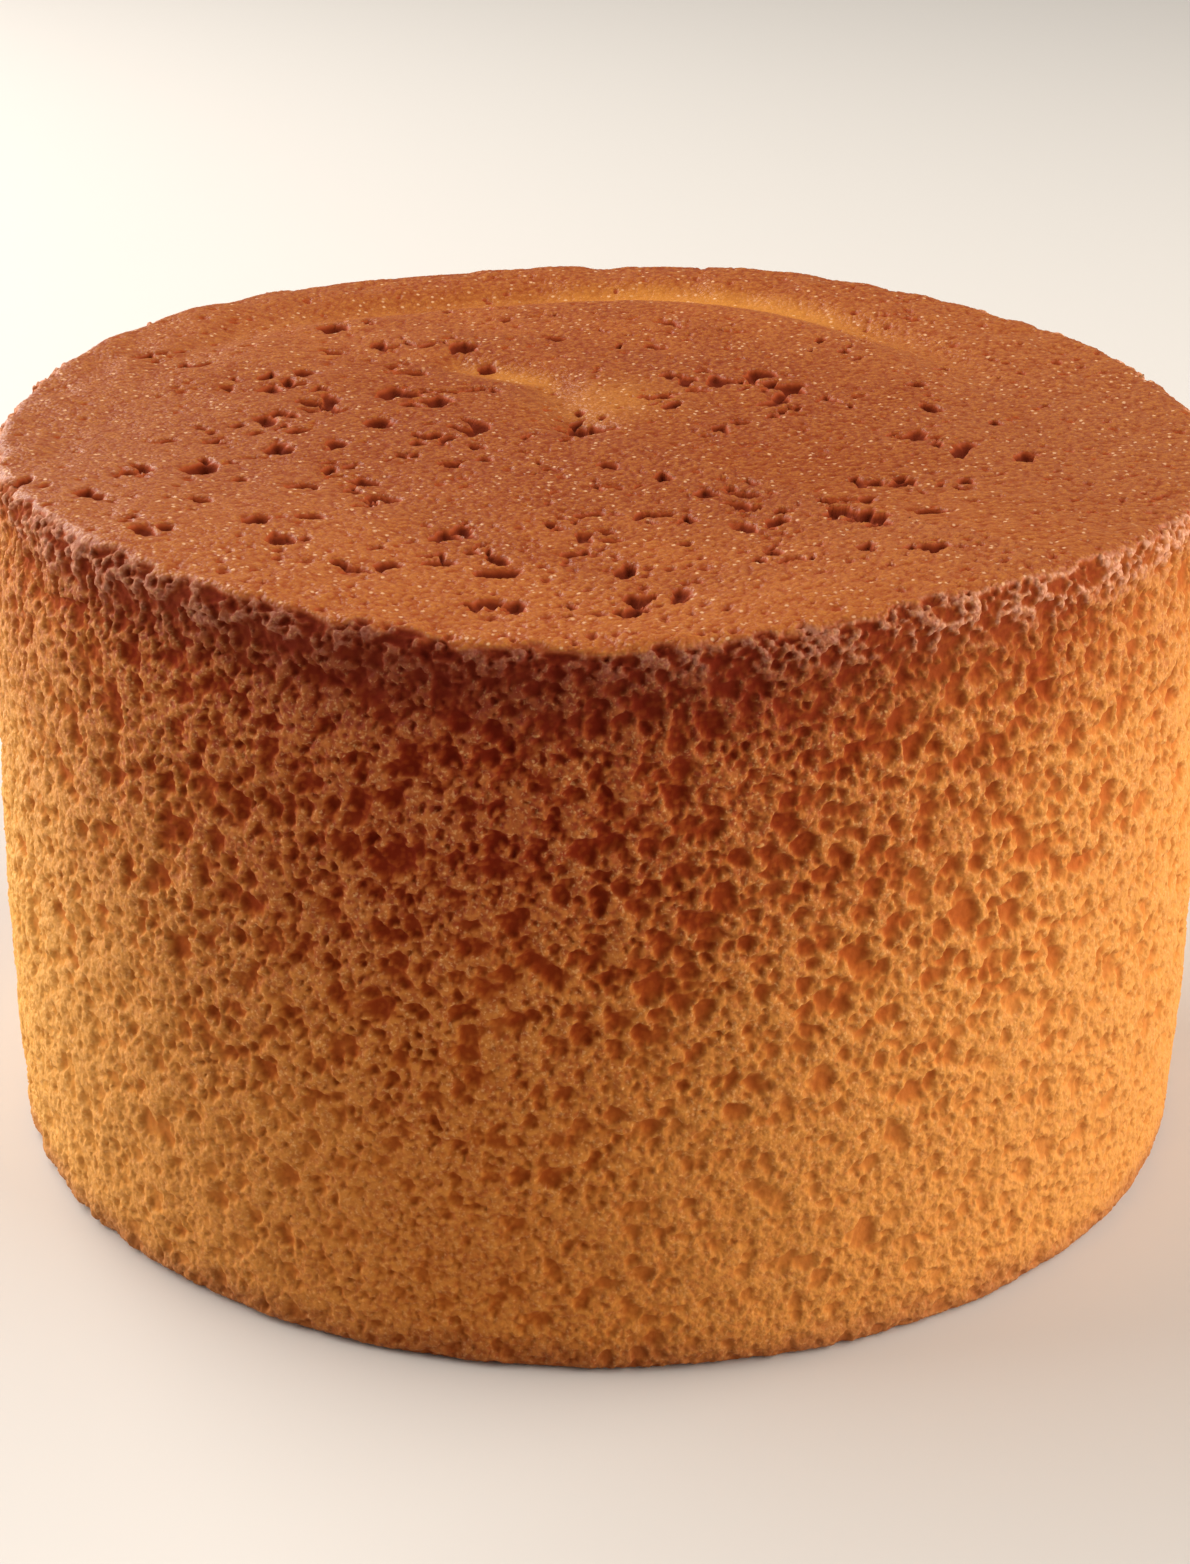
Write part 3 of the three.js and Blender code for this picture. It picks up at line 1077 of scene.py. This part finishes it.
        # Painted shade in the holes: their walls and floors are darkened with depth.
        colour = bench.mix(pit.eased(0.04, 0.25), colour, self.crust_wall)
        colour = bench.mix(pit.eased(0.16, 0.7), colour, self.crust_hole)
        # Painted glints: pale dots laid into the crust's colour, none in the holes.
        glint = bench.glints(at, self.crust_glint_size) * (1.0 - pit.eased(0.05, 0.2))
        return bench.mix(glint * 0.7, colour, self.crust_glint)

    def material(self) -> bpy.types.Material:
        """Material of the baked skin.

        Returns:
            Crumb and crust mixed by the crust mark, with a bump of fine grain over both.
        """
        bench = Bench("baked_skin")
        at = bench.place()
        axes = bench.node("ShaderNodeSeparateXYZ", {}, {0: at}, "Z")
        across = axes.beside("X") * axes.beside("X")
        along = axes.beside("Y") * axes.beside("Y")
        lateral = across / (across + along + self.axis_guard)
        crust = bench.mark("crust")
        grit = 1.0 - bench.grains(at, self.grit_size)
        net = bench.grains(bench.swirl(at, *self.swirl), self.dimple)
        crumb_colour = self.crumb_colour(bench, at, axes, lateral, net)
        colour = bench.mix(crust, crumb_colour, self.crust_colour(bench, at, lateral, grit))
        rough = self.crumb_rough + crust * (self.crust_rough - self.crumb_rough)
        pit = bench.mark("pit").eased(0.05, 0.5)
        rough = rough + (bench.noise(at, self.rough_size, 3.0) - 0.5) * 0.2 + pit * 0.6
        grain = (grit * 0.7 + net * (0.8 - crust * 0.8)) * (1.0 - pit * 0.6)
        sockets = {"Strength": 1.0, "Distance": self.bump * MM, "Height": grain}
        normal = bench.node("ShaderNodeBump", {}, sockets)
        return bench.surface({
            "Base Color": colour, "Roughness": rough, "Normal": normal,
            "IOR": self.bend, "Specular IOR Level": self.gloss})


@dataclass
class Patch:
    """Quads and fan triangles of a surface, its border, and each point's place on the piece's flat map."""

    quads: Array
    fan: Array
    border: Array
    flat: Array


def grid_patch(rows: int, columns: int) -> Patch:
    """Quads of a grid of points in rows, each counter-clockwise, and its border in the same sense.

    Args:
        rows: Steps along the rows' direction.
        columns: Steps along a row.

    Returns:
        The patch, with its flat map filled by row and column.
    """
    place = np.arange((rows + 1) * (columns + 1)).reshape(rows + 1, columns + 1)
    quads = np.stack((place[:-1, :-1], place[:-1, 1:], place[1:, 1:], place[1:, :-1]), -1).reshape(-1, 4)
    border = np.concatenate((place[0, :-1], place[:-1, -1], place[-1, :0:-1], place[:0:-1, 0]))
    row, column = np.divmod(np.arange(place.size), columns + 1)
    return Patch(quads, np.zeros((0, 3), int), border, np.stack((column / columns, row / rows), -1))


def put(name: str, data: bpy.types.ID, columns: Sequence[Array] = ()) -> bpy.types.Object:
    """Object in the scene.

    Args:
        name: Name.
        data: Mesh, lens or light.
        columns: Directions of the three axes and the place, or none for an object at the origin.

    Returns:
        The object.
    """
    thing = bpy.data.objects.new(name, data)
    if columns:
        frame = np.vstack((np.column_stack(columns), (0.0, 0.0, 0.0, 1.0)))
        thing.matrix_world = Matrix(frame.tolist())
    bpy.context.scene.collection.objects.link(thing)
    return thing


@dataclass(frozen=True)
class Sponge:
    """The cake: six sectors of side, two halves of top crust and the base, all parts of one carved skin."""

    form: CakeForm
    relief: BakedRelief
    material: bpy.types.Material
    columns: int = 292
    rows: int = 334
    base_rings: int = 8
    base_dent: Layer = Layer(0.1, 7.0, 171)
    base_edge: float = 6.0
    seam_turn: float = 1.1
    middle_height: float = 55.0

    @property
    def seam(self) -> float:
        """Place along the profile where the side meets the top pieces."""
        return self.form.side_length + self.form.rim_round * self.seam_turn

    @property
    def middle(self) -> Array:
        """Point on the axis to which every piece is closed."""
        return np.array((0.0, 0.0, self.middle_height))

    @property
    def turns(self) -> int:
        """Points round the cake."""
        return self.columns * len(Sector)

    def carved(self, path: Array, bearing: Array) -> Relief:
        """Relief on a grid that reaches one step past the piece on all sides, then cut back to the piece.

        The normal on the piece's border is the cross product of the steps to the points before and after
        along a row and up a column, so that neighbours agree on it. Inside the border it is left at zero,
        where the mesh's own normal holds.

        Args:
            path: Lengths along the profile, in rows.
            bearing: Bearings in degrees, in rows.

        Returns:
            The relief of the piece.
        """
        relief = self.relief.carve(self.form.skin(path.ravel(), bearing.ravel()))
        at = relief.at.reshape(path.shape + (3,))
        lean = np.cross(np.gradient(at, axis=1), np.gradient(at, axis=0))[1:-1, 1:-1]
        lean = lean / np.maximum(np.linalg.norm(lean, axis=-1, keepdims=True), TINY)
        lean[1:-1, 1:-1] = 0.0
        marks = {k: v.reshape(path.shape)[1:-1, 1:-1].ravel() for k, v in relief.marks.items()}
        return Relief(at[1:-1, 1:-1].reshape(-1, 3), marks, lean.reshape(-1, 3))

    def lay(self, name: str, relief: Relief, patch: Patch) -> bpy.types.Object:
        """Mesh of a patch, closed by triangles from its border to a point in the middle of the cake.

        Args:
            name: Name of the piece.
            relief: Points and marks.
            patch: Faces, border and flat map.

        Returns:
            The piece.
        """
        count = len(relief.at)
        points = np.vstack((relief.at, self.middle)) * MM
        caps = np.stack((np.roll(patch.border, -1), patch.border, np.full(len(patch.border), count)), -1)
        skin = np.concatenate((patch.quads.ravel(), patch.fan.ravel()))
        corners = np.concatenate((skin, caps.ravel()))
        triangles = len(patch.fan) + len(caps)
        last_starts = patch.quads.size + 3 * np.arange(triangles)
        starts = np.concatenate((4 * np.arange(len(patch.quads)), last_starts))
        mesh = bpy.data.meshes.new(name)
        mesh.vertices.add(len(points))
        mesh.vertices.foreach_set("co", points.astype(np.float32).ravel())
        mesh.loops.add(len(corners))
        mesh.loops.foreach_set("vertex_index", corners.astype(np.int32))
        mesh.polygons.add(len(starts))
        mesh.polygons.foreach_set("loop_start", starts.astype(np.int32))
        mesh.update(calc_edges=True)
        smooth = np.arange(len(starts)) < len(starts) - len(caps)
        mesh.polygons.foreach_set("use_smooth", smooth)
        for key, values in relief.marks.items():
            mark = mesh.attributes.new(key, "FLOAT", "POINT")
            mark.data.foreach_set("value", np.append(values, 0.0).astype(np.float32))
        along = np.arange(len(caps))[:, None] + (1.0, 0.0, 0.5)
        strip = np.stack((along, np.tile((0.0, 0.0, 1.0), (len(caps), 1))), -1)
        strip = strip.reshape(-1, 2) * (1.0 / len(caps), CAP_STRIP)
        flat = patch.flat[skin] * (1.0, 1.0 - SKIN_FROM) + (0.0, SKIN_FROM)
        chart = mesh.uv_layers.new(name="OFBake")
        chart.data.foreach_set("uv", np.vstack((flat, strip)).astype(np.float32).ravel())
        mesh.materials.append(self.material)
        mesh.validate()
        mesh.normals_split_custom_set_from_vertices(np.vstack((relief.lean, np.zeros(3))).tolist())
        piece = put(name, mesh)
        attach(piece, "root")
        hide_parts("sponge_cake")
        LOG.info("%s: %d points, %d triangles", name, len(points), 2 * len(patch.quads) + triangles)
        return piece

    def side(self, sector: Sector) -> bpy.types.Object:
        """One sector of the side: the skin on a grid of bearings and lengths along the profile.

        Args:
            sector: Which sector.

        Returns:
            The piece.
        """
        up = np.arange(-1, self.rows + 2) * self.seam / self.rows
        along = sector.value + np.arange(-1, self.columns + 2) * 360.0 / self.turns
        path, bearing = np.meshgrid(up, along, indexing="ij")
        relief = self.carved(np.maximum(path, 0.0), bearing)
        patch = grid_patch(self.rows, self.columns)
        return self.lay(f"side_{sector.name.lower()}", relief, patch)

    def top(self, half: Half) -> bpy.types.Object:
        """Half of the top crust: a square grid drawn round, so that square rings become rings of the cake.

        A grid place (a, b) in -1 to 1 goes to the ring max(|a|, |b|), at an eighth of a turn times
        the smaller over the larger of the two, counted from the nearest axis.

        Args:
            half: Which half.

        Returns:
            The piece.
        """
        across = self.turns // 4
        rows = across // 2
        line = np.arange(-1, across + 2) * 2.0 / across - 1.0
        b, a = np.meshgrid(line[half.value * rows:half.value * rows + rows + 3], line, indexing="ij")
        wide = np.abs(a) >= np.abs(b)
        large = np.where(wide, a, b)
        small = np.where(wide, b, a)
        lean = 45.0 * np.divide(small, large, out=np.zeros_like(small), where=np.abs(large) > TINY)
        sideways = np.where(a < 0.0, 180.0, 0.0) + lean
        endways = np.where(b < 0.0, -90.0, 90.0) - lean
        bearing = np.where(wide, sideways, endways)
        path = blend(self.form.full_length, self.seam, np.abs(large))
        relief = self.carved(path, bearing)
        patch = grid_patch(rows, across)
        patch.flat = 0.5 + MAP_REACH * relief.at[:, :2] / self.form.rim_radius
        patch.flat[:, 1] = 2.0 * (patch.flat[:, 1] - 0.5 * half.value)
        return self.lay(f"top_{half.name.lower()}", relief, patch)

    def base(self) -> bpy.types.Object:
        """Flat base: rings from a small middle ring out to the foot, dented upwards by a faint noise.

        Returns:
            The piece.
        """
        reach = float(self.form.side_radius(np.array(self.form.base_round))) - self.form.base_round
        turns = self.turns
        radius, bearing = (v.ravel() for v in np.meshgrid(
            np.linspace(0.0, reach, self.base_rings + 1)[1:],
            Sector.FRONT.value + np.linspace(0.0, 360.0, turns, endpoint=False), indexing="ij"))
        radius = np.append(radius, 0.0)
        turn = np.radians(np.append(bearing, 0.0))
        at = np.stack((radius * np.cos(turn), radius * np.sin(turn), np.zeros_like(radius)), -1)
        dent = self.base_dent.height + self.base_dent.on(at)
        dent = dent * ease(reach, reach - self.base_edge, radius)
        at[:, 2] = dent
        ring = np.arange(radius.size - 1).reshape(self.base_rings, turns)
        ahead = np.roll(ring, -1, axis=1)
        quads = np.stack((ring[:-1], ahead[:-1], ahead[1:], ring[1:]), -1).reshape(-1, 4)
        fan = np.stack((np.full(turns, radius.size - 1), ahead[0], ring[0]), -1)
        bare = np.zeros(len(at))
        marks = {"pit": bare, "tip": 0.5 + dent, "crust": bare, "pale": bare}
        patch = Patch(quads, fan, ring[-1][::-1], 0.5 + MAP_REACH * at[:, :2] / reach)
        return self.lay("base_skin", Relief(at, marks, np.zeros_like(at)), patch)


@dataclass(frozen=True)
class Lamp:
    """Square soft light: its name, place in metres, power in watts, colour code, side and aim in metres."""

    name: str
    place: Triple
    power: float
    code: str
    side: float = 1.5
    aim: Triple = (0.0, 0.0, 0.06)

    def hang(self) -> bpy.types.Object:
        """Light that faces its aim, with two of its edges level.

        Returns:
            The light.
        """
        light = bpy.data.lights.new(self.name, "AREA")
        light.shape = "SQUARE"
        light.size = self.side
        light.energy = self.power
        light.color = tint(self.code)[:3]
        back = np.subtract(self.place, self.aim)
        back = back / np.linalg.norm(back)
        level = np.cross((0.0, 0.0, 1.0), back)
        level = level / np.linalg.norm(level)
        return put(self.name, light, (level, np.cross(back, level), back, self.place))


@dataclass(frozen=True)
class Studio:
    """Camera at the photograph's viewing angle, soft lights and a pale floor."""

    elevation: float = 23.87
    distance: float = 540.0
    target_height: float = 47.8
    roll: float = 0.44
    sensor: float = 36.0
    nearest: float = 10.0
    focal: float = 3386.0
    image_tall: float = 1564.0
    shift_right: float = 4.5
    shift_down: float = 14.2
    floor_half: float = 3.0
    floor_code: str = "#d2cfcb"
    floor_rough: float = 0.7
    sky_code: str = "#f4f2ef"
    sky_strength: float = 0.2
    lamps: Tuple[Lamp, ...] = (
        Lamp("left_light", (-0.88, 0.4, 0.42), 36.0, "#fff8f0"),
        Lamp("right_light", (0.98, -0.2, 0.42), 27.5, "#fff7ec"))

    def camera(self) -> bpy.types.Object:
        """Camera.

        Returns:
            The camera on the front axis, raised by the elevation, turned by the roll about its view.
        """
        tilt = math.radians(self.elevation)
        spin = math.radians(self.roll)
        ahead = np.array((0.0, math.cos(tilt), -math.sin(tilt)))
        right = np.array((1.0, 0.0, 0.0))
        up = np.cross(right, ahead)
        axis_x = math.cos(spin) * right + math.sin(spin) * up
        axis_y = math.cos(spin) * up - math.sin(spin) * right
        place = (np.array((0.0, 0.0, self.target_height)) - self.distance * ahead) * MM
        lens = bpy.data.cameras.new("view")
        lens.sensor_width = self.sensor
        lens.lens = self.sensor * self.focal / self.image_tall
        lens.shift_x = -self.shift_right / self.image_tall
        lens.shift_y = self.shift_down / self.image_tall
        lens.clip_start = self.nearest * MM
        camera = put("view", lens, (axis_x, axis_y, -ahead, place))
        bpy.context.scene.camera = camera
        return camera

    def lights(self) -> None:
        """Lights from the left and the right, with a weak even sky."""
        for lamp in self.lamps:
            lamp.hang()
        world = bpy.data.worlds.new("sky")
        world.use_nodes = True
        sky = world.node_tree.nodes["Background"]
        sky.inputs["Color"].default_value = tint(self.sky_code)
        sky.inputs["Strength"].default_value = self.sky_strength
        bpy.context.scene.world = world
        bpy.context.scene.view_settings.view_transform = "Standard"

    def floor(self) -> bpy.types.Object:
        """Pale floor: a flat grid of one square.

        Returns:
            The floor.
        """
        half = self.floor_half
        mesh = bpy.data.meshes.new("floor")
        corners = [(-half, -half, 0.0), (half, -half, 0.0), (half, half, 0.0), (-half, half, 0.0)]
        mesh.from_pydata(corners, [], [(0, 1, 2, 3)])
        sockets = {"Base Color": self.floor_code, "Roughness": self.floor_rough}
        mesh.materials.append(Bench("pale_floor").surface(sockets))
        floor = put("floor", mesh)
        return floor


def main() -> None:
    """Builds the stage and the pieces in order."""
    logging.basicConfig(level=logging.INFO, format="%(name)s %(message)s")
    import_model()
    studio = Studio()
    studio.camera()
    studio.lights()
    studio.floor()
    form = CakeForm()
    sponge = Sponge(form, BakedRelief(form), BakedFinish().material())
    for sector in Sector:
        sponge.side(sector)
    for half in Half:
        sponge.top(half)
    sponge.base()


if __name__ == "__main__":
    main()
